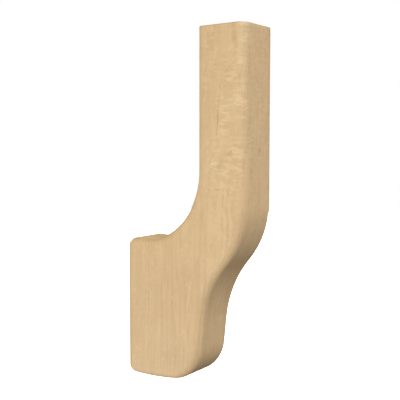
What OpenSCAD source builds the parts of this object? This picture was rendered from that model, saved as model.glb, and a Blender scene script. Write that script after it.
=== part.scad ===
// Wooden corbel bracket, cut in one piece from solid maple.
//
// A block with a flat back is fixed to the wall. From it a square stem
// rises, set forward of the wall, and its sawn top carries the shelf or
// counter above. An ogee joins the front of the stem to the front of the
// block, and a quarter sweep joins the block's shoulder to the stem's back.
// Every long edge is rounded over on both sides.
//
// +X points away from the wall, +Z up. The origin is on the flat back,
// at half the block's height and half the bracket's width.

/* [Overall] */
// Height, from the lowest point of the block to the sawn top
height = 495.3; // [400:1:620]
// Depth, from the wall to the front of the stem
depth = 203.2; // [168:1:250]
// Width across the two flat sides
width = 76.2; // [40:1:120]

/* [Stem] */
// Depth of the stem, front to back
stem_depth = 76.2; // [60:1:95]

/* [Ogee] */
// Radius of the round below the stem's front
nose_r = 122.5; // [90:0.5:150]
// Steepest turn of the ogee away from upright, in degrees
ogee_turn = 38.9; // [30:0.1:46]
// Length of the straight between the nose and the cove
ogee_flat = 13; // [2:0.5:30]
// Radius of the cove that runs down into the block's front
cove_r = 158.5; // [120:0.5:200]

/* [Block] */
// Height of the shoulder above the block's lowest point
shoulder_h = 202.5; // [165:0.5:250]
// Slant of the block's front, in degrees
front_slant = 6.1; // [0:0.1:10]
// Length of the straight on the block's front
front_flat = 36; // [2:0.5:50]
// Radius of the corner between the front and the bottom
toe_r = 55; // [30:0.5:70]
// Radius of the long curve of the bottom
belly_r = 412; // [300:1:600]
// Distance from the wall to the bottom's lowest point
belly_x = 27; // [15:0.5:45]
// Radius of the two corners at the wall
corner_r = 12.7; // [8:0.1:20]

/* [Sweep] */
// Length of the flat on the shoulder
shoulder_flat = 27; // [5:0.5:35]
// Radius of the tighter bend that starts the sweep at the shoulder
root_r = 60; // [30:1:90]
// Turn of that bend before the wider sweep takes over, in degrees
root_turn = 22; // [10:0.5:35]

/* [Edges] */
// Radius of the rounded edges
edge_r = 12.7; // [4:0.1:18]

/* [Hidden] */

MAPLE = [0.85, 0.73, 0.56];
chord_error = 0.05; // how far a facet may stand off its true curve
longest_piece = 25; // longest facet along a straight
round_steps = 8; // facets across a rounded edge
least_r = 0.2; // radius left to a wall corner where its edge is rounded most

stem_back = depth - stem_depth;
round_r = min(edge_r, width / 2 - least_r);
wall_r = max(corner_r, round_r + least_r);

// Unit vector at angle a, and the angle of a vector
function dir(a) = [cos(a), sin(a)];
function angle_of(v) = atan2(v[1], v[0]);

// Heights count from the block's lowest point until the last step.
// The ogee fixes how far the block's front stands back from the stem's.
cove_end_x = depth - nose_r * (1 - cos(ogee_turn)) - ogee_flat * sin(ogee_turn)
    - cove_r * (cos(front_slant) - cos(ogee_turn));

// The bottom's curve carries the toe and the heel, tangent inside it.
belly_c = [belly_x, belly_r];
function inside_belly(x, r) = [x, belly_r - sqrt(pow(belly_r - r, 2) - pow(x - belly_x, 2))];
toe_c = inside_belly(cove_end_x - front_flat * sin(front_slant) - toe_r * cos(front_slant), toe_r);
heel_c = inside_belly(wall_r, wall_r);
toe_a = angle_of(toe_c - belly_c);
heel_a = angle_of(heel_c - belly_c);

// The front is built upwards from the toe.
front_low = toe_c + toe_r * dir(-front_slant);
front_top = front_low + front_flat * dir(90 - front_slant);
cove_c = front_top + cove_r * dir(-front_slant);
flat_low = cove_c - cove_r * dir(-ogee_turn);
flat_top = flat_low + ogee_flat * dir(90 - ogee_turn);
nose_c = flat_top - nose_r * dir(-ogee_turn);

// The shoulder, and the sweep that fills what room is left before the stem
back_c = [wall_r, shoulder_h - wall_r];
root_c = [wall_r + shoulder_flat, shoulder_h + root_r];
sweep_r = (stem_back - root_c[0] - root_r * sin(root_turn)) / (1 - sin(root_turn));
sweep_c = root_c + (root_r - sweep_r) * dir(root_turn - 90);

// The outline runs clockwise from the top of the stem's front, and each
// stretch starts where the last one ends.
// ["line", start, end] or ["arc", centre, radius, start angle, end angle];
// an arc that turns clockwise is convex, and the others are hollow.
OUTLINE = [
    ["line", [depth, height], [depth, nose_c[1]]],
    ["arc", nose_c, nose_r, 0, -ogee_turn],
    ["line", flat_top, flat_low],
    ["arc", cove_c, cove_r, 180 - ogee_turn, 180 - front_slant],
    ["line", front_top, front_low],
    ["arc", toe_c, toe_r, -front_slant, toe_a],
    ["arc", belly_c, belly_r, toe_a, heel_a],
    ["arc", heel_c, wall_r, heel_a, -180],
    ["line", [0, heel_c[1]], [0, back_c[1]]],
    ["arc", back_c, wall_r, 180, 90],
    ["line", [back_c[0], shoulder_h], [root_c[0], shoulder_h]],
    ["arc", root_c, root_r, -90, root_turn - 90],
    ["arc", sweep_c, sweep_r, root_turn - 90, 0],
    ["line", [stem_back, sweep_c[1]], [stem_back, height]]
];
HEEL = 7; // the heel's place in the outline

function is_arc(s) = s[0] == "arc";
function is_hollow(s) = is_arc(s) && s[4] > s[3];

// Number of straight pieces along a stretch, so that none stands off its
// arc by more than chord_error, or is longer than longest_piece on a line
function pieces(s) = is_arc(s)
    ? ceil(abs(s[4] - s[3]) / (2 * acos(1 - chord_error / s[2])))
    : ceil(norm(s[2] - s[1]) / longest_piece);

// Points of one stretch, all but its last, moved inwards by d
function stretch(s, d) = let (n = pieces(s)) is_arc(s)
    ? let (r = is_hollow(s) ? s[2] + d : s[2] - d)
        [for (i = [0:n - 1]) s[1] + r * dir(s[3] + (s[4] - s[3]) * i / n)]
    : let (run = s[2] - s[1], inwards = d * dir(angle_of(run) - 90))
        [for (i = [0:n - 1]) s[1] + run * i / n + inwards];

// The whole outline moved inwards by d
function ring(d) = [for (s = OUTLINE) each stretch(s, d), [stem_back + d, height]];

// Depth inwards and place across the width of each ring, from one flat
// side over its rounded edge to the other
half_levels = [for (i = [0:round_steps]) let (a = 90 * i / round_steps)
    [round_r * (1 - sin(a)), width / 2 - round_r * (1 - cos(a))]];
levels = [
    for (l = half_levels) [l[0], -l[1]],
    for (i = [round_steps:-1:0]) half_levels[i]
];

// Place in a ring of the heel's first point. The points before it climb the
// front and the points from it on climb the back, both up to the sawn top.
heel_i = len([for (k = [0:HEEL - 1]) each stretch(OUTLINE[k], 0)]);

// Triangles that fill a ring p between a front point f and a back point b,
// always climbing on the side whose next point is lower
function fill(p, f, b) =
    let (up_front = f > 0, up_back = b < len(p) - 1)
    up_front && (!up_back || p[f - 1][1] < p[b + 1][1])
        ? concat([[b, f - 1, f]], fill(p, f - 1, b))
        : up_back ? concat([[b, b + 1, f]], fill(p, f, b + 1)) : [];

module bracket() {
    rings = [for (l = levels) [for (p = ring(l[0])) [p[0], p[1], l[1]]]];
    n = len(rings[0]);
    last = len(rings) - 1;
    sides = [for (k = [0:last - 1], i = [0:n - 1]) let (j = (i + 1) % n)
        [k * n + i, k * n + j, (k + 1) * n + j, (k + 1) * n + i]];
    flat = fill(rings[0], heel_i - 1, heel_i);
    near_side = [for (t = flat) [t[2], t[1], t[0]]];
    far_side = [for (t = flat) [for (i = t) i + last * n]];
    color(MAPLE)
        translate([0, 0, -shoulder_h / 2])
            rotate([90, 0, 0])
                polyhedron([for (r = rings) each r], concat(near_side, far_side, sides));
}

bracket();
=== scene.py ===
"""The looks of a solid maple corbel bracket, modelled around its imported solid.

The corbel is drawn as a saw would cut it: one walk round its outline, a
sawn blank, rounded edges, and a light sanding by hand. Its maple is a solid
pattern, so that rings, curl and end grain agree on every side.
"""

from __future__ import annotations

import logging
import math
from dataclasses import dataclass, field
from enum import Enum, IntEnum

import bmesh
import bpy
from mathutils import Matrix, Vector, noise

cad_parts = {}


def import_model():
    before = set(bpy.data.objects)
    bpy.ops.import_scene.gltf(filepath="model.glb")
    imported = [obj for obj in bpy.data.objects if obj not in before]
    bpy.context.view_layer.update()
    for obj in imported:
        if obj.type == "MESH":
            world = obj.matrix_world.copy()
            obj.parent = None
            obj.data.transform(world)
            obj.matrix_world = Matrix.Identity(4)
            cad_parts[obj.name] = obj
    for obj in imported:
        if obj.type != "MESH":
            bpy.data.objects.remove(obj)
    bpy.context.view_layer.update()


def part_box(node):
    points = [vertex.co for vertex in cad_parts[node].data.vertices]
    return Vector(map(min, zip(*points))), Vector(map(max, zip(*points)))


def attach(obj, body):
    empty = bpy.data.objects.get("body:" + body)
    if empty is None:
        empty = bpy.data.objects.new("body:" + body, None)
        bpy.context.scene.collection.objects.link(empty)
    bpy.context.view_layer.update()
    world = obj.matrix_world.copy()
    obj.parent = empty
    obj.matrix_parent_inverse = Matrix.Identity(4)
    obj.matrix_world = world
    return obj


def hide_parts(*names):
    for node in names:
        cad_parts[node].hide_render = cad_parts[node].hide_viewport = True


LOG = logging.getLogger("corbel")
MM = 0.001

Colour = tuple[float, float, float]
Point = tuple[float, float, float]
Socket = bpy.types.NodeSocket

WHITE: Colour = (1.0, 1.0, 1.0)


def towards(azimuth: float, elevation: float) -> Vector:
    """Gives the direction from the corbel to something that faces it.

    Args:
        azimuth: Its angle round the corbel, from the near side to the front.
        elevation: Its angle above level.

    Returns:
        The direction, one unit long.
    """
    a, e = math.radians(azimuth), math.radians(elevation)
    return Vector((math.sin(a) * math.cos(e), -math.cos(a) * math.cos(e), math.sin(e)))


class Turn(Enum):
    """Which way the saw turns, seen from the corbel's near side."""

    RIGHT = 1
    LEFT = -1


class MixSocket(IntEnum):
    """Where a Mix node keeps its sockets for colours."""

    AMOUNT = 0
    UNDER = 6
    OVER = 7
    RESULT = 2


@dataclass(frozen=True)
class CorbelSizes:
    """The corbel's sizes, in metres and degrees, and what follows from them."""

    top_z: float
    depth: float
    width: float
    stem_depth: float = 76.2 * MM
    nose_r: float = 122.5 * MM
    ogee_turn: float = 38.9
    ogee_flat: float = 13.0 * MM
    cove_r: float = 158.5 * MM
    shoulder_h: float = 202.5 * MM
    front_slant: float = 6.1
    front_flat: float = 36.0 * MM
    toe_r: float = 55.0 * MM
    belly_r: float = 412.0 * MM
    belly_x: float = 27.0 * MM
    wall_r: float = 12.9 * MM
    shoulder_flat: float = 27.0 * MM
    root_r: float = 60.0 * MM
    root_turn: float = 22.0
    edge_r: float = 12.7 * MM

    @property
    def low_z(self) -> float:
        """Place of the lowest point, half the block's height down."""
        return -self.shoulder_h / 2

    @property
    def height(self) -> float:
        """Height of the sawn top above the lowest point."""
        return self.top_z + self.shoulder_h / 2

    @property
    def stem_back(self) -> float:
        """Distance from the wall to the stem's back."""
        return self.depth - self.stem_depth

    @property
    def cove_end_x(self) -> float:
        """Distance from the wall to the top of the block's front."""
        turn, slant = math.radians(self.ogee_turn), math.radians(self.front_slant)
        nose = self.nose_r * (1 - math.cos(turn)) + self.ogee_flat * math.sin(turn)
        return self.depth - nose - self.cove_r * (math.cos(slant) - math.cos(turn))

    @property
    def toe_centre(self) -> tuple[float, float]:
        """Centre of the toe, from the wall and above the lowest point."""
        slant = math.radians(self.front_slant)
        x = self.cove_end_x - self.front_flat * math.sin(slant) - self.toe_r * math.cos(slant)
        return x, self.height_in_belly(x, self.toe_r)

    @property
    def front_rise(self) -> float:
        """Height of the stem's straight front above the lowest point."""
        turn, slant = math.radians(self.ogee_turn), math.radians(self.front_slant)
        toe = self.toe_centre[1] - self.toe_r * math.sin(slant)
        cove = self.cove_r * (math.sin(turn) - math.sin(slant))
        straights = self.front_flat * math.cos(slant) + self.ogee_flat * math.cos(turn)
        return toe + straights + cove + self.nose_r * math.sin(turn)

    @property
    def sweep_r(self) -> float:
        """Radius of the sweep that fills the room between shoulder and stem."""
        lean = math.sin(math.radians(self.root_turn))
        room = self.stem_back - self.wall_r - self.shoulder_flat
        return (room - self.root_r * lean) / (1 - lean)

    def height_in_belly(self, x: float, radius: float) -> float:
        """Gives the height of a round that lies inside the belly's curve.

        Args:
            x: Distance from the wall to the round's centre.
            radius: The round's radius.

        Returns:
            The height of its centre above the lowest point.
        """
        reach = self.belly_r - radius
        return self.belly_r - math.sqrt(reach**2 - (x - self.belly_x) ** 2)

    def belly_angle(self, x: float, radius: float) -> float:
        """Gives how far round the belly a tangent round touches it.

        Args:
            x: Distance from the wall to the round's centre.
            radius: The round's radius.

        Returns:
            The angle from straight down, in degrees, positive to the front.
        """
        return math.degrees(math.asin((x - self.belly_x) / (self.belly_r - radius)))


@dataclass
class SawWalk:
    """Draws an outline as one tangent walk of straights and turns."""

    bm: bmesh.types.BMesh
    start: Vector
    heading: float = -90.0
    longest_step: float = 2.4 * MM
    fewest_steps: int = 2
    tip: bmesh.types.BMVert = field(init=False)

    def __post_init__(self) -> None:
        """Sets the first vertex."""
        made = bmesh.ops.create_vert(self.bm, co=self.start)
        self.tip = made["vert"][0]

    @property
    def ahead(self) -> Vector:
        """The direction that the walk is heading in."""
        angle = math.radians(self.heading)
        return Vector((math.cos(angle), 0.0, math.sin(angle)))

    def straight(self, length: float) -> None:
        """Walks straight on.

        Args:
            length: How far to walk.
        """
        made = bmesh.ops.extrude_vert_indiv(self.bm, verts=[self.tip])
        self.tip = made["verts"][0]
        bmesh.ops.translate(self.bm, verts=[self.tip], vec=self.ahead * length)

    def turn(self, way: Turn, radius: float, degrees: float) -> None:
        """Walks round an arc that is tangent to the way so far.

        Args:
            way: Which way the arc turns.
            radius: The arc's radius.
            degrees: How far the heading turns.
        """
        side = self.ahead.cross(Vector((0.0, way.value, 0.0))) * -1.0
        steps = max(self.fewest_steps, math.ceil(math.radians(degrees) * radius / self.longest_step))
        made = bmesh.ops.spin(
            self.bm, geom=[self.tip], cent=self.tip.co + side * radius, axis=(0.0, way.value, 0.0),
            angle=math.radians(degrees), steps=steps, use_duplicate=False,
        )
        self.tip = next(g for g in made["geom_last"] if isinstance(g, bmesh.types.BMVert))
        self.heading -= way.value * degrees


@dataclass(frozen=True)
class Fade:
    """A smooth change from one value to another, over a range of a number."""

    low: float
    high: float
    to_low: float = 0.0
    to_high: float = 1.0


@dataclass(frozen=True)
class Cloud:
    """A soft noise: its features' size in millimetres, its shift in features, and its finer layers."""

    size: Point
    shift: Point = (0.0, 0.0, 0.0)
    detail: float = 1.0
    rough: float = 0.5


@dataclass(frozen=True)
class Layers:
    """A soft noise that follows the rings, with its size across them and along the grain."""

    across: float
    along: float
    detail: float
    rough: float = 0.5


@dataclass(frozen=True)
class NodeBoard:
    """A node tree, with short ways to add the nodes that a finish needs."""

    tree: bpy.types.NodeTree

    def put(self, kind: str, **settings: object) -> bpy.types.Node:
        """Adds a node and sets its properties.

        Args:
            kind: The node's type name.
            settings: Property names and their values.

        Returns:
            The new node.
        """
        node = self.tree.nodes.new(kind)
        for name, value in settings.items():
            setattr(node, name, value)
        return node

    def feed(self, socket: Socket, value: object) -> None:
        """Links a socket to an output, or sets its plain value.

        Args:
            socket: The input to feed.
            value: An output socket, a number or a tuple.
        """
        if isinstance(value, Socket):
            self.tree.links.new(value, socket)
        else:
            socket.default_value = value

    def maths(self, operation: str, *values: object, clamp: bool = False) -> Socket:
        """Works out one number from others.

        Args:
            operation: The Math node's operation.
            values: Its inputs, in order.
            clamp: Whether the result stays between 0 and 1.

        Returns:
            The result.
        """
        node = self.put("ShaderNodeMath", operation=operation, use_clamp=clamp)
        for socket, value in zip(node.inputs, values):
            self.feed(socket, value)
        return node.outputs[0]

    def times(self, first: object, *others: object) -> Socket:
        """Multiplies numbers, from the left.

        Args:
            first: The first number.
            others: What it is multiplied by, in turn.

        Returns:
            The product.
        """
        for other in others:
            first = self.maths("MULTIPLY", first, other)
        return first

    def centred(self, value: Socket) -> Socket:
        """Shifts a noise from around 0.5 to around 0."""
        return self.maths("SUBTRACT", value, 0.5)

    def stretch(self, where: Socket, size: Point, shift: Point = (0.0, 0.0, 0.0)) -> Socket:
        """Scales a place so that one unit is one feature.

        Args:
            where: The place to scale.
            size: The feature's size along each axis, in the place's units.
            shift: What is added once it is scaled.

        Returns:
            The scaled place.
        """
        node = self.put("ShaderNodeMapping")
        self.feed(node.inputs["Vector"], where)
        node.inputs["Scale"].default_value = tuple(1.0 / s for s in size)
        node.inputs["Location"].default_value = shift
        return node.outputs[0]

    def noise(self, where: Socket, detail: float, rough: float) -> Socket:
        """Adds a soft noise whose features are about one unit across.

        Args:
            where: The place to read it at.
            detail: How many finer layers it has.
            rough: How strong each finer layer is.

        Returns:
            A value around 0.5.
        """
        node = self.put("ShaderNodeTexNoise", noise_dimensions="3D")
        self.feed(node.inputs["Vector"], where)
        node.inputs["Scale"].default_value = 1.0
        node.inputs["Detail"].default_value = detail
        node.inputs["Roughness"].default_value = rough
        return node.outputs["Fac"]

    def drift(self, along: Socket, detail: float) -> Socket:
        """Adds a soft noise along one number.

        Args:
            along: The number to read it at, one unit a feature.
            detail: How many finer layers it has.

        Returns:
            A value around 0.5.
        """
        node = self.put("ShaderNodeTexNoise", noise_dimensions="1D")
        self.feed(node.inputs["W"], along)
        node.inputs["Scale"].default_value = 1.0
        node.inputs["Detail"].default_value = detail
        return node.outputs["Fac"]

    def fade(self, value: object, step: Fade) -> Socket:
        """Maps a range of one number smoothly onto another.

        Args:
            value: The number to map.
            step: The range, and what its two ends become.

        Returns:
            The mapped number, held at both ends.
        """
        node = self.put("ShaderNodeMapRange", interpolation_type="SMOOTHSTEP")
        for socket, number in zip(node.inputs, (value, step.low, step.high, step.to_low, step.to_high)):
            self.feed(socket, number)
        return node.outputs[0]

    def curve(self, value: object, stops: tuple[tuple[float, float], ...]) -> Socket:
        """Maps a number through a grey ramp.

        Args:
            value: The number to map.
            stops: Places on the ramp and the values there.

        Returns:
            The ramp's value.
        """
        node = self.put("ShaderNodeValToRGB")
        node.color_ramp.interpolation = "B_SPLINE"
        elements = node.color_ramp.elements
        while len(elements) < len(stops):
            elements.new(0.5)
        for element, (place, grey) in zip(elements, stops):
            element.position = place
            element.color = (grey, grey, grey, 1.0)
        self.feed(node.inputs[0], value)
        return node.outputs[0]

    def tint(self, amount: object, under: Socket | Colour, over: Socket | Colour) -> Socket:
        """Blends one colour over another.

        Args:
            amount: How much of the upper colour shows.
            under: The lower colour.
            over: The upper colour.

        Returns:
            The blended colour.
        """
        node = self.put("ShaderNodeMix", data_type="RGBA")
        self.feed(node.inputs[MixSocket.AMOUNT], amount)
        for place, colour in ((MixSocket.UNDER, under), (MixSocket.OVER, over)):
            self.feed(node.inputs[place], (*colour, 1.0) if isinstance(colour, tuple) else colour)
        return node.outputs[MixSocket.RESULT]


@dataclass(frozen=True)
class Wood:
    """The fields that every part of the finish is drawn from, in millimetres."""

    board: NodeBoard
    where: Socket
    height: Socket
    radius: Socket
    curly_r: float

    def cloud(self, cloud: Cloud) -> Socket:
        """Reads a soft noise at each place in the wood."""
        place = self.board.stretch(self.where, cloud.size, cloud.shift)
        return self.board.noise(place, cloud.detail, cloud.rough)

    def layers(self, layers: Layers) -> Socket:
        """Reads a soft noise that follows the rings.

        Args:
            layers: What the noise is like.

        Returns:
            A value around 0.5.
        """
        place = self.board.put("ShaderNodeCombineXYZ")
        self.board.feed(place.inputs["X"], self.board.maths("DIVIDE", self.radius, layers.across))
        self.board.feed(place.inputs["Z"], self.board.maths("DIVIDE", self.height, layers.along))
        return self.board.noise(place.outputs[0], layers.detail, layers.rough)


@dataclass(frozen=True)
class LateWood:
    """The thin line that ends each year's ring, broken here and there.

    Stride is how far one year is from the next in the drift that sets their
    strengths, and nudge keeps a year's number steady where the year starts.
    """

    ring_gap: float = 4.3
    across: tuple[tuple[float, float], ...] = (
        (0.0, 0.7), (0.03, 0.0), (0.6, 0.0), (0.88, 0.2), (0.955, 1.0), (1.0, 0.9),
    )
    nudge: float = 0.001
    stride: float = 0.83
    strength: Fade = Fade(0.25, 0.75, 0.3, 1.0)
    breaks: Cloud = Cloud((22.0, 22.0, 26.0), (1.0, 2.0, 8.0))
    unbroken: Fade = Fade(0.38, 0.60, 0.15, 1.0)

    def draw(self, wood: Wood) -> Socket:
        """Draws the lines, some years' stronger than others'.

        Args:
            wood: The wood's fields.

        Returns:
            0 in early wood, up to 1 on a line.
        """
        board = wood.board
        years = board.maths("DIVIDE", board.maths("SUBTRACT", wood.radius, wood.curly_r), self.ring_gap)
        line = board.curve(board.maths("FRACT", years), self.across)
        year = board.maths("FLOOR", board.maths("ADD", years, self.nudge))
        strength = board.fade(board.drift(board.times(year, self.stride), 0.0), self.strength)
        return board.times(line, strength, board.fade(wood.cloud(self.breaks), self.unbroken))


@dataclass(frozen=True)
class GrowthLine:
    """One thin broken line round the pith, over a part of the height.

    It lies inset from the edge of the curly wood, and tone is how far it
    lightens the wood, or darkens it below 0.
    """

    inset: float
    low: float
    high: float
    tone: float
    tail: float = 12.0
    edge: Fade = Fade(0.1, 0.42, 1.0, 0.0)
    break_size: Point = (30.0, 30.0, 14.0)
    break_shift: tuple[float, float] = (6.0, 5.0)
    unbroken: Fade = Fade(0.40, 0.56)

    def draw(self, wood: Wood) -> Socket:
        """Draws the line, with breaks of its own.

        Args:
            wood: The wood's fields.

        Returns:
            0 in plain wood, up to 1 on the line.
        """
        board = wood.board
        radius = wood.curly_r - self.inset
        off = board.maths("ABSOLUTE", board.maths("SUBTRACT", wood.radius, radius))
        breaks = wood.cloud(Cloud(self.break_size, (*self.break_shift, radius)))
        foot = board.fade(wood.height, Fade(self.low, self.low + self.tail))
        head = board.fade(wood.height, Fade(self.high - self.tail, self.high, 1.0, 0.0))
        return board.times(board.fade(off, self.edge), board.fade(breaks, self.unbroken), foot, head)


@dataclass(frozen=True)
class Figure:
    """The fine layers inside the rings, and a mottle near the pith."""

    wide: Layers = Layers(5.5, 75.0, 1.0)
    wide_share: float = 0.55
    broad: Layers = Layers(3.0, 50.0, 1.5)
    fine: Layers = Layers(1.2, 12.0, 0.5)
    fine_share: float = 0.35
    calm: Cloud = Cloud((15.0, 15.0, 26.0), (7.0, 7.0, 1.0))
    calmed: Fade = Fade(0.38, 0.62, 0.10, 1.05)
    outwards: Fade = Fade(116.0, 131.0, 0.85, 1.0)
    mottle: Cloud = Cloud((8.0, 8.0, 17.0), (5.0, 1.0, 3.0), 1.5)
    mottled: Fade = Fade(108.0, 125.0, 0.65, 0.0)

    def draw(self, wood: Wood) -> Socket:
        """Draws the layers as lines that come and go, with the mottle over them.

        Args:
            wood: The wood's fields.

        Returns:
            A value around 0.
        """
        board = wood.board
        lines = board.maths("MULTIPLY_ADD", wood.layers(self.fine), self.fine_share, wood.layers(self.broad))
        lines = board.maths("SUBTRACT", lines, (1.0 + self.fine_share) / 2)
        lines = board.times(lines, board.fade(wood.cloud(self.calm), self.calmed))
        wide = board.centred(wood.layers(self.wide))
        lines = board.maths("MULTIPLY_ADD", wide, self.wide_share, lines)
        lines = board.times(lines, board.fade(wood.radius, self.outwards))
        mottle = board.centred(wood.cloud(self.mottle))
        return board.maths("MULTIPLY_ADD", mottle, board.fade(wood.radius, self.mottled), lines)


@dataclass(frozen=True)
class Curl:
    """The curl, in short bands across the grain, strongest where the wood is curly."""

    bands: Cloud = Cloud((14.0, 14.0, 4.4), (1.3, 4.1, 0.0), 1.5)
    wave: Fade = Fade(0.46, 0.61, -0.18, 1.0)
    edge: float = 1.4
    outwards: Fade = Fade(105.0, 130.0, 0.45, 1.0)
    patches: Cloud = Cloud((18.0, 18.0, 38.0), (8.0, 2.0, 5.0))
    elsewhere: Fade = Fade(0.40, 0.66, 0.12, 0.5)
    lively: Fade = Fade(0.36, 0.60, 0.35, 1.05)
    upwards: Fade = Fade(150.0, 225.0, 0.25, 1.0)

    def draw(self, wood: Wood) -> Socket:
        """Draws the bands.

        Args:
            wood: The wood's fields.

        Returns:
            A value around 0, bright above it and dull below it.
        """
        board = wood.board
        zone = board.fade(wood.radius, Fade(wood.curly_r - self.edge, wood.curly_r, 1.0, 0.0))
        zone = board.times(zone, board.fade(wood.radius, self.outwards))
        patches = wood.cloud(self.patches)
        reach = board.maths("MAXIMUM", zone, board.fade(patches, self.elsewhere))
        lively = board.times(board.fade(patches, self.lively), board.fade(wood.height, self.upwards))
        return board.times(board.fade(wood.cloud(self.bands), self.wave), board.times(reach, lively))


@dataclass(frozen=True)
class Flecks:
    """Short dashes along the grain, most of them bright: ray flecks, with painted sheen where light catches
    cut fibres.
    """

    bright: Cloud = Cloud((1.7, 1.7, 5.0), (9.0, 3.0, 1.0), 0.5)
    bright_dash: Fade = Fade(0.64, 0.72)
    dull: Cloud = Cloud((1.5, 1.5, 7.0), (3.0, 8.0, 6.0), 0.5)
    dull_dash: Fade = Fade(0.66, 0.80)
    dull_share: float = 0.6
    patches: Cloud = Cloud((20.0, 20.0, 34.0), (2.0, 5.0, 9.0))
    shown: Fade = Fade(0.42, 0.56, 0.1, 1.0)

    def draw(self, wood: Wood) -> Socket:
        """Scatters the dashes, thickest in patches.

        Args:
            wood: The wood's fields.

        Returns:
            0 in plain wood, up to 1 in a bright dash and below 0 in a dull one.
        """
        board = wood.board
        dull = board.times(board.fade(wood.cloud(self.dull), self.dull_dash), self.dull_share)
        dashes = board.maths("SUBTRACT", board.fade(wood.cloud(self.bright), self.bright_dash), dull)
        return board.times(dashes, board.fade(wood.cloud(self.patches), self.shown))


@dataclass(frozen=True)
class SoftMark:
    """One small dark mark: its middle and its reach in millimetres, and its tone."""

    centre: Point
    size: Point
    tone: float
    edge: Fade = Fade(0.3, 1.0, 1.0, 0.0)

    def draw(self, wood: Wood) -> Socket:
        """Draws the mark.

        Args:
            wood: The wood's fields.

        Returns:
            1 in the mark's middle, 0 outside it.
        """
        shift = tuple(-c / s for c, s in zip(self.centre, self.size))
        away = wood.board.put("ShaderNodeVectorMath", operation="LENGTH")
        wood.board.feed(away.inputs[0], wood.board.stretch(wood.where, self.size, shift))
        return wood.board.fade(away.outputs["Value"], self.edge)


@dataclass(frozen=True)
class PinkZones:
    """Broad rings of pinker wood, and the pinker wood outside the curl."""

    width: float = 9.0
    detail: float = 2.0
    shown: Fade = Fade(0.36, 0.64)
    outer_share: float = 0.6

    def draw(self, wood: Wood, outer: Socket) -> Socket:
        """Draws the zones.

        Args:
            wood: The wood's fields.
            outer: 1 outside the curly wood, 0 in it.

        Returns:
            0 in cream wood, up to 1 in pink.
        """
        board = wood.board
        drift = board.drift(board.maths("DIVIDE", wood.radius, self.width), self.detail)
        return board.maths("MAXIMUM", board.times(outer, self.outer_share), board.fade(drift, self.shown))


@dataclass(frozen=True)
class Tones:
    """How far each part of the pattern lightens the wood, or darkens it below 0."""

    plain: float = 0.02
    blotch: float = 0.42
    figure: float = 0.80
    fibres: float = 0.05
    curl: float = 0.46
    flecks: float = 0.36
    late_wood: float = -0.36
    late_end_grain: float = -0.40
    pores: float = -0.12
    outer: float = -0.03
    sawn_rim: float = -0.55
    low_block: float = -0.15


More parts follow.
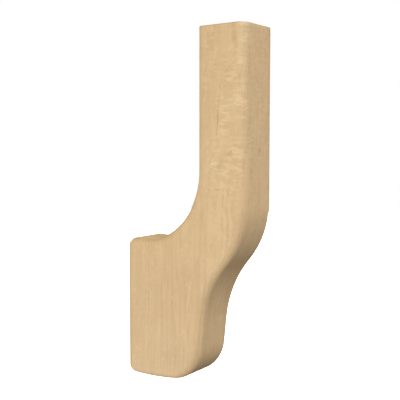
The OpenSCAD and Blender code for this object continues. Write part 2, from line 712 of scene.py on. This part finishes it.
@dataclass(frozen=True)
class CurlyMaple:
    """Bare sanded maple with a curl, as one solid pattern in millimetres.

    Sawn_z is the height of the sawn top, whose rim is a little darker, and
    curly_r is the ring radius inside which the curl is strong.
    """

    sawn_z: float
    name: str = "maple"
    cream: Colour = (0.765, 0.543, 0.285)
    blush: Colour = (0.752, 0.522, 0.276)
    dark: Colour = (0.50, 0.325, 0.165)
    light: Colour = (0.91, 0.675, 0.405)
    end: Colour = (0.60, 0.41, 0.21)
    end_share: float = 0.75
    end_facing: Fade = Fade(0.5, 1.0)
    roughness: float = 0.56
    roughness_range: float = 0.10
    gloss: float = 0.32
    relief: float = 0.04
    pore_sink: float = -0.5
    curl_lift: float = 0.5
    pith: tuple[float, float] = (195.0, 92.0)
    curly_r: float = 134.0
    curly_edge: float = 0.3
    taper: float = 0.010
    bends: tuple[Fade, ...] = (Fade(325.0, 346.0, 2.4, 0.0), Fade(205.0, 240.0, 4.0, 0.0))
    sway: Cloud = Cloud((40.0, 40.0, 60.0))
    sway_reach: float = 3.0
    wobble: Cloud = Cloud((8.0, 8.0, 17.0), (3.1, 7.7, 1.9), 2.0)
    wobble_reach: float = 1.2
    blotch: Cloud = Cloud((30.0, 30.0, 44.0), (4.0, 4.0, 4.0), 2.0)
    fibres: Cloud = Cloud((0.8, 0.8, 24.0), detail=2.0, rough=0.6)
    pores: Cloud = Cloud((0.5, 0.5, 5.2), (2.0, 6.0, 4.0), 0.0)
    pore_dash: Fade = Fade(0.64, 0.78)
    rim_depth: float = 2.15
    rim_edge: float = 0.75
    low_block: Fade = Fade(20.0, 150.0, 1.0, 0.0)
    low_outwards: Fade = Fade(100.0, 127.0, 0.15, 1.0)
    pink: PinkZones = PinkZones()
    figure: Figure = Figure()
    curl: Curl = Curl()
    flecks: Flecks = Flecks()
    late_wood: LateWood = LateWood()
    lines: tuple[GrowthLine, ...] = (
        GrowthLine(0.0, 190.0, 400.0, -0.27),
        GrowthLine(6.8, 40.0, 185.0, -0.20),
        GrowthLine(7.3, 40.0, 200.0, 0.24),
        GrowthLine(7.9, 60.0, 195.0, -0.17),
        GrowthLine(8.4, 60.0, 190.0, 0.22),
    )
    marks: tuple[SoftMark, ...] = (
        SoftMark((203.0, 2.0, 228.0), (6.0, 6.0, 4.5), -0.38),
        SoftMark((163.0, -38.0, 177.0), (7.5, 4.0, 1.6), -0.45),
    )
    tones: Tones = Tones()

    def dress(self, piece: bpy.types.Object) -> None:
        """Gives a piece this finish.

        Args:
            piece: The mesh object to dress.
        """
        material = bpy.data.materials.new(self.name)
        material.use_nodes = True
        board = NodeBoard(material.node_tree)
        shader = material.node_tree.nodes["Principled BSDF"]
        wood = self.grain(board)
        fibres = wood.cloud(self.fibres)
        pores = board.fade(wood.cloud(self.pores), self.pore_dash)
        curl = self.curl.draw(wood)
        least_rough = self.roughness - self.roughness_range / 2
        roughness = board.maths("MULTIPLY_ADD", fibres, self.roughness_range, least_rough)
        board.feed(shader.inputs["Base Color"], self.colour(wood, fibres, pores, curl))
        board.feed(shader.inputs["Roughness"], roughness)
        board.feed(shader.inputs["Normal"], self.bump(board, fibres, pores, curl))
        shader.inputs["Specular IOR Level"].default_value = self.gloss
        piece.data.materials.clear()
        piece.data.materials.append(material)

    def grain(self, board: NodeBoard) -> Wood:
        """Lays out the grain, with rings that taper, bend and sway as they climb.

        Args:
            board: The node tree to add to.

        Returns:
            The fields that the rest is drawn from.
        """
        place = board.put("ShaderNodeTexCoord").outputs["Object"]
        where = board.stretch(place, (MM, MM, MM))
        split = board.put("ShaderNodeSeparateXYZ")
        board.feed(split.inputs[0], where)
        height = split.outputs["Z"]
        along = board.maths("SUBTRACT", split.outputs["X"], self.pith[0])
        across = board.maths("SUBTRACT", split.outputs["Y"], self.pith[1])
        square = board.maths("MULTIPLY_ADD", along, along, board.times(across, across))
        radius = board.maths("MULTIPLY_ADD", height, self.taper, board.maths("SQRT", square))
        for bend in self.bends:
            radius = board.maths("SUBTRACT", radius, board.fade(height, bend))
        steady = Wood(board, where, height, radius, self.curly_r)
        for cloud, reach in ((self.sway, self.sway_reach), (self.wobble, self.wobble_reach)):
            radius = board.maths("MULTIPLY_ADD", board.centred(steady.cloud(cloud)), reach, radius)
        return Wood(board, where, height, radius, self.curly_r)

    def end_grain(self, board: NodeBoard) -> Socket:
        """Finds where the surface is cut across the grain.

        Args:
            board: The node tree to add to.

        Returns:
            0 along the grain, up to 1 square across it.
        """
        split = board.put("ShaderNodeSeparateXYZ")
        board.feed(split.inputs[0], board.put("ShaderNodeNewGeometry").outputs["Normal"])
        return board.fade(board.maths("ABSOLUTE", split.outputs["Z"]), self.end_facing)

    def colour(self, wood: Wood, fibres: Socket, pores: Socket, curl: Socket) -> Socket:
        """Mixes the wood's colour from its parts.

        Args:
            wood: The wood's fields.
            fibres: The fibres.
            pores: The pores.
            curl: The curl.

        Returns:
            The colour.
        """
        board, tones = wood.board, self.tones
        outer = board.fade(wood.radius, Fade(self.curly_r - self.curly_edge, self.curly_r + self.curly_edge))
        late_wood = self.late_wood.draw(wood)
        end = self.end_grain(board)
        sawn_rim = Fade(self.sawn_z - self.rim_depth, self.sawn_z - self.rim_edge)
        # Darker towards the bottom of the block, and more so further out from the pith.
        outwards = board.fade(wood.radius, self.low_outwards)
        low_block = board.times(board.fade(wood.height, self.low_block), outwards)
        parts = (
            (board.centred(wood.cloud(self.blotch)), tones.blotch),
            (self.figure.draw(wood), tones.figure),
            (board.centred(fibres), tones.fibres),
            (curl, tones.curl),
            # The flecks' bright dashes are painted sheen.
            (self.flecks.draw(wood), tones.flecks),
            (late_wood, tones.late_wood),
            (board.times(late_wood, end), tones.late_end_grain),
            *((line.draw(wood), line.tone) for line in self.lines),
            (pores, tones.pores),
            (outer, tones.outer),
            *((mark.draw(wood), mark.tone) for mark in self.marks),
            (board.fade(wood.height, sawn_rim), tones.sawn_rim),
            (low_block, tones.low_block),
        )
        tone = tones.plain
        for part, strength in parts:
            tone = board.maths("MULTIPLY_ADD", part, strength, tone)
        base = board.tint(self.pink.draw(wood, outer), self.cream, self.blush)
        base = board.tint(board.times(end, self.end_share), base, self.end)
        base = board.tint(board.maths("MULTIPLY", tone, -1.0, clamp=True), base, self.dark)
        return board.tint(board.maths("MULTIPLY", tone, 1.0, clamp=True), base, self.light)

    def bump(self, board: NodeBoard, fibres: Socket, pores: Socket, curl: Socket) -> Socket:
        """Raises the fibres and the curl a little and sinks the pores.

        Args:
            board: The node tree to add to.
            fibres: The fibres.
            pores: The pores.
            curl: The curl.

        Returns:
            The surface's normal.
        """
        level = board.maths("MULTIPLY_ADD", pores, self.pore_sink, fibres)
        level = board.maths("MULTIPLY_ADD", curl, self.curl_lift, level)
        node = board.put("ShaderNodeBump")
        node.inputs["Strength"].default_value = 1.0
        node.inputs["Distance"].default_value = self.relief * MM
        board.feed(node.inputs["Height"], level)
        return node.outputs[0]


@dataclass
class Corbel:
    """The corbel: one piece of maple, sawn, rounded over and sanded.

    A face looks along an axis where its normal reaches facing on that axis,
    and stands upright where its normal's height stays under upright.
    """

    sizes: CorbelSizes
    finish: CurlyMaple
    name: str = "maple_corbel"
    round_segments: int = 14
    arris: float = 0.6 * MM
    arris_segments: int = 2
    facing: float = 0.9
    upright: float = 0.5
    grid: float = 5.0 * MM
    snap: float = 0.02 * MM
    sanding: float = 0.10 * MM
    sanding_span: float = 30.0 * MM
    finer_scale: float = 2.7
    finer_share: float = 0.5

    def outline(self, bm: bmesh.types.BMesh) -> None:
        """Walks round the corbel's near side and closes it into one face.

        Args:
            bm: The mesh to draw in.
        """
        s = self.sizes
        toe = s.belly_angle(s.toe_centre[0], s.toe_r)
        heel = s.belly_angle(s.wall_r, s.wall_r)
        heel_rise = s.height_in_belly(s.wall_r, s.wall_r)
        walk = SawWalk(bm, Vector((s.depth, -s.width / 2, s.height)))
        first = walk.tip
        walk.straight(s.height - s.front_rise)
        walk.turn(Turn.RIGHT, s.nose_r, s.ogee_turn)
        walk.straight(s.ogee_flat)
        walk.turn(Turn.LEFT, s.cove_r, s.ogee_turn - s.front_slant)
        walk.straight(s.front_flat)
        walk.turn(Turn.RIGHT, s.toe_r, 90.0 - s.front_slant - toe)
        walk.turn(Turn.RIGHT, s.belly_r, toe - heel)
        walk.turn(Turn.RIGHT, s.wall_r, 90.0 + heel)
        walk.straight(s.shoulder_h - s.wall_r - heel_rise)
        walk.turn(Turn.RIGHT, s.wall_r, 90.0)
        walk.straight(s.shoulder_flat)
        walk.turn(Turn.LEFT, s.root_r, s.root_turn)
        walk.turn(Turn.LEFT, s.sweep_r, 90.0 - s.root_turn)
        walk.straight(s.height - walk.tip.co.z)
        bmesh.ops.contextual_create(bm, geom=[walk.tip, first])
        bmesh.ops.edgeloop_fill(bm, edges=bm.edges[:])

    def saw(self, bm: bmesh.types.BMesh) -> None:
        """Gives the outline its width and its place in the frame.

        Args:
            bm: The mesh that holds the outline.
        """
        made = bmesh.ops.extrude_face_region(bm, geom=bm.faces[:])
        far = [g for g in made["geom"] if isinstance(g, bmesh.types.BMVert)]
        bmesh.ops.translate(bm, verts=far, vec=(0.0, self.sizes.width, 0.0))
        bmesh.ops.translate(bm, verts=bm.verts[:], vec=(0.0, 0.0, self.sizes.low_z))
        bmesh.ops.recalc_face_normals(bm, faces=bm.faces[:])

    def round_over(self, bm: bmesh.types.BMesh) -> None:
        """Rounds every long edge, and eases the arris of the sawn top.

        Args:
            bm: The sawn blank.
        """
        top = max(v.co.z for v in bm.verts) - MM
        flats = [f for f in bm.faces if abs(f.normal.y) > self.facing]
        long_edges = [e for f in flats for e in f.edges if min(v.co.z for v in e.verts) < top]
        bmesh.ops.bevel(
            bm, geom=long_edges, offset=self.sizes.edge_r, offset_type="OFFSET", segments=self.round_segments,
            profile=0.5, affect="EDGES", clamp_overlap=False, material=-1,
        )
        ends = [f for f in bm.faces if f.normal.z > self.facing and f.calc_center_median().z > top]
        rim = [e for f in ends for e in f.edges if any(abs(g.normal.z) < self.upright for g in e.link_faces)]
        bmesh.ops.bevel(
            bm, geom=rim, offset=self.arris, offset_type="OFFSET", segments=self.arris_segments,
            profile=0.5, affect="EDGES", clamp_overlap=False, material=-1,
        )

    def slice_up(self, bm: bmesh.types.BMesh) -> None:
        """Cuts the broad faces into small ones, for the sanding to move.

        Args:
            bm: The rounded corbel.
        """
        s = self.sizes
        half = s.width / 2 - s.edge_r
        spans = (
            (Vector((1.0, 0.0, 0.0)), 0.0, s.depth),
            (Vector((0.0, 1.0, 0.0)), -half, half),
            (Vector((0.0, 0.0, 1.0)), s.low_z, s.low_z + s.height),
        )
        for normal, low, high in spans:
            cuts = round((high - low) / self.grid)
            for i in range(1, cuts):
                bmesh.ops.bisect_plane(
                    bm, geom=bm.verts[:] + bm.edges[:] + bm.faces[:], dist=self.snap,
                    plane_co=normal * (low + (high - low) * i / cuts), plane_no=normal,
                )

    def sand(self, bm: bmesh.types.BMesh) -> None:
        """Takes a little more wood here than there, as hand sanding does.

        Args:
            bm: The sliced corbel.
        """
        bm.normal_update()
        full_range = 2.0 * (1.0 + self.finer_share)
        moves = []
        for v in bm.verts:
            coarse = noise.noise(v.co / self.sanding_span)
            finer = noise.noise(v.co * self.finer_scale / self.sanding_span)
            uneven = (coarse + self.finer_share * finer) / full_range
            moves.append(v.normal * (self.sanding * (uneven - 0.5)))
        for v, move in zip(bm.verts, moves):
            v.co += move

    def make(self) -> bpy.types.Object:
        """Makes the corbel as one dressed piece.

        Returns:
            The finished object.
        """
        bm = bmesh.new()
        self.outline(bm)
        self.saw(bm)
        self.round_over(bm)
        self.slice_up(bm)
        self.sand(bm)
        for face in bm.faces:
            face.smooth = True
        mesh = bpy.data.meshes.new(self.name)
        bm.to_mesh(mesh)
        bm.free()
        piece = bpy.data.objects.new(self.name, mesh)
        bpy.context.scene.collection.objects.link(piece)
        self.finish.dress(piece)
        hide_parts("bracket")
        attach(piece, "root")
        return piece


@dataclass(frozen=True)
class Viewpoint:
    """Where the camera stands, as angles round a point that it looks at."""

    azimuth: float = 35.519
    elevation: float = 4.395
    distance: float = 1.01363
    lens: float = 64.317
    sensor: float = 36.0
    aim: Point = (0.1071, 0.0, 0.1583)

    def place(self) -> bpy.types.Object:
        """Makes the camera and hands it to the scene.

        Returns:
            The camera.
        """
        back = towards(self.azimuth, self.elevation)
        data = bpy.data.cameras.new("camera")
        data.lens = self.lens
        data.sensor_width = self.sensor
        camera = bpy.data.objects.new("camera", data)
        camera.location = Vector(self.aim) + back * self.distance
        camera.rotation_euler = (-back).to_track_quat("-Z", "Y").to_euler()
        bpy.context.scene.collection.objects.link(camera)
        bpy.context.scene.camera = camera
        return camera


@dataclass(frozen=True)
class Softbox:
    """One large soft light that faces the corbel, its power in watts."""

    name: str
    azimuth: float
    elevation: float
    power: float
    colour: Colour = WHITE
    in_gloss: bool = True
    size: float = 10.5
    distance: float = 18.0
    aim: Point = (0.1, 0.0, 0.14)

    def hang(self) -> bpy.types.Object:
        """Hangs the light, out of the camera's sight.

        Returns:
            The light.
        """
        away = towards(self.azimuth, self.elevation)
        data = bpy.data.lights.new(self.name, "AREA")
        data.size = self.size
        data.energy = self.power
        data.color = self.colour
        light = bpy.data.objects.new(self.name, data)
        light.visible_camera = False
        light.visible_glossy = self.in_gloss
        light.location = Vector(self.aim) + away * self.distance
        light.rotation_euler = away.to_track_quat("Z", "Y").to_euler()
        bpy.context.scene.collection.objects.link(light)
        return light


@dataclass(frozen=True)
class Studio:
    """A pale floor in a white room, with large soft lights on every side."""

    floor_z: float = -1.5
    floor_size: float = 30.0
    floor_colour: Colour = (0.93, 0.93, 0.93)
    floor_roughness: float = 0.9
    floor_gloss: float = 0.1
    floor_glow: float = 0.95
    room_level: float = 1.0
    soft_slope: float = 0.57
    soft_from: Point = (0.125, -0.989, -0.077)
    boxes: tuple[Softbox, ...] = (
        Softbox("key", 81.0, 34.0, 2560.0, (1.0, 1.005, 1.08)),
        Softbox("fill", -39.0, -38.0, 2540.0),
        Softbox("top", 19.0, 83.0, 1790.0),
        Softbox("rear", 215.5, 14.0, 3300.0, in_gloss=False),
    )

    def room(self) -> None:
        """Lights the room softly from one side, and shows it white to the camera."""
        world = bpy.data.worlds.new("room")
        bpy.context.scene.world = world
        world.use_nodes = True
        board = NodeBoard(world.node_tree)
        world.node_tree.nodes.clear()
        direction = board.put("ShaderNodeTexCoord").outputs["Generated"]
        facing = board.put("ShaderNodeVectorMath", operation="DOT_PRODUCT")
        board.feed(facing.inputs[0], direction)
        facing.inputs[1].default_value = Vector(self.soft_from).normalized()
        level = board.times(facing.outputs["Value"], self.soft_slope)
        soft = board.put("ShaderNodeBackground")
        board.feed(soft.inputs["Strength"], board.maths("MAXIMUM", level, 0.0))
        white = board.put("ShaderNodeBackground")
        white.inputs["Color"].default_value = (*WHITE, 1.0)
        white.inputs["Strength"].default_value = self.room_level
        seen = board.put("ShaderNodeLightPath").outputs["Is Camera Ray"]
        both = board.put("ShaderNodeMixShader")
        for socket, value in zip(both.inputs, (seen, soft.outputs[0], white.outputs[0])):
            board.feed(socket, value)
        out = board.put("ShaderNodeOutputWorld")
        board.feed(out.inputs["Surface"], both.outputs[0])

    def floor(self) -> bpy.types.Object:
        """Lays the floor, which shows to the camera but throws no light up.

        Returns:
            The floor.
        """
        bm = bmesh.new()
        bmesh.ops.create_grid(bm, x_segments=1, y_segments=1, size=self.floor_size / 2)
        bmesh.ops.translate(bm, verts=bm.verts[:], vec=(0.0, 0.0, self.floor_z))
        mesh = bpy.data.meshes.new("floor")
        bm.to_mesh(mesh)
        bm.free()
        floor = bpy.data.objects.new("floor", mesh)
        bpy.context.scene.collection.objects.link(floor)
        material = bpy.data.materials.new("pale_floor")
        material.use_nodes = True
        material.cycles.emission_sampling = "NONE"
        shader = material.node_tree.nodes["Principled BSDF"]
        shader.inputs["Base Color"].default_value = (*self.floor_colour, 1.0)
        shader.inputs["Roughness"].default_value = self.floor_roughness
        shader.inputs["Specular IOR Level"].default_value = self.floor_gloss
        shader.inputs["Emission Color"].default_value = (*WHITE, 1.0)
        shader.inputs["Emission Strength"].default_value = self.floor_glow
        mesh.materials.append(material)
        floor.visible_diffuse = False
        floor.visible_glossy = False
        floor.visible_shadow = False
        return floor

    def set_up(self) -> None:
        """Sets up the room, the floor and the lights."""
        self.room()
        self.floor()
        for box in self.boxes:
            box.hang()


def main() -> None:
    """Builds the studio and the corbel, in order, and reports the piece."""
    logging.basicConfig(level=logging.INFO, format="%(name)s: %(message)s")
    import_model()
    low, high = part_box("bracket")
    bpy.context.scene.view_settings.view_transform = "Standard"
    Viewpoint().place()
    Studio().set_up()
    sizes = CorbelSizes(top_z=high.z, depth=high.x - low.x, width=high.y - low.y)
    corbel = Corbel(sizes, CurlyMaple(sawn_z=high.z / MM))
    piece = corbel.make()
    LOG.info("%s: %d faces, %d vertices", piece.name, len(piece.data.polygons), len(piece.data.vertices))


if __name__ == "__main__":
    main()
